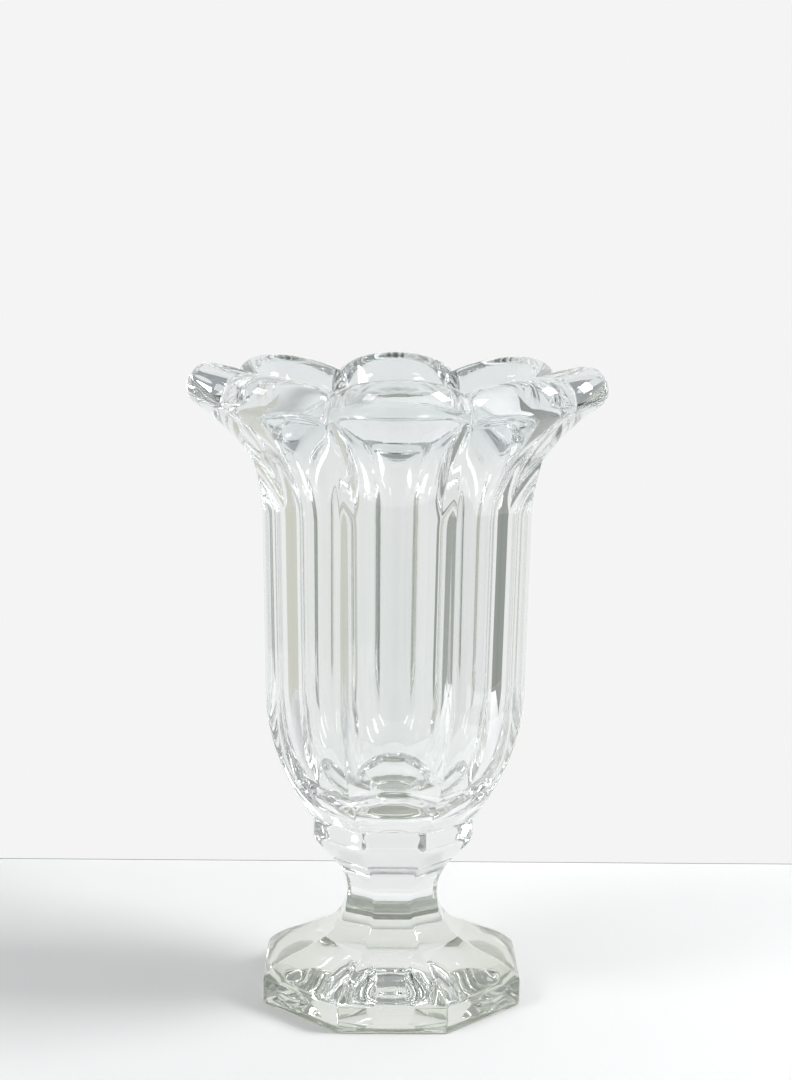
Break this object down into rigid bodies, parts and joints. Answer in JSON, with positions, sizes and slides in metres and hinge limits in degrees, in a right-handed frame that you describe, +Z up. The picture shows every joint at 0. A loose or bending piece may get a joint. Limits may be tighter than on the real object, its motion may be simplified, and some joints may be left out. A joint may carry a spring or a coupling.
{
  "type": "footed glass vase",
  "caption": "Clear pressed-glass vase: fluted tulip bowl with a flared petal rim, joined by a thin wafer to a faceted, waisted pedestal foot; holds cut flowers.",
  "frame": {"origin": "on the floor plane, at the vase's axis", "axes": "+Z up along the axis of the vase; a flute, petal and foot facet face -Y, the side the picture shows, and others face +X, -X and +Y"},
  "size_m": [0.1564, 0.1564, 0.24],
  "materials": {
    "clear_glass": "fire-polished gloss"
  },
  "bodies": {
    "root": {"bowl": "clear_glass", "wafer": "clear_glass", "pedestal": "clear_glass"}
  },
  "joints": []
}
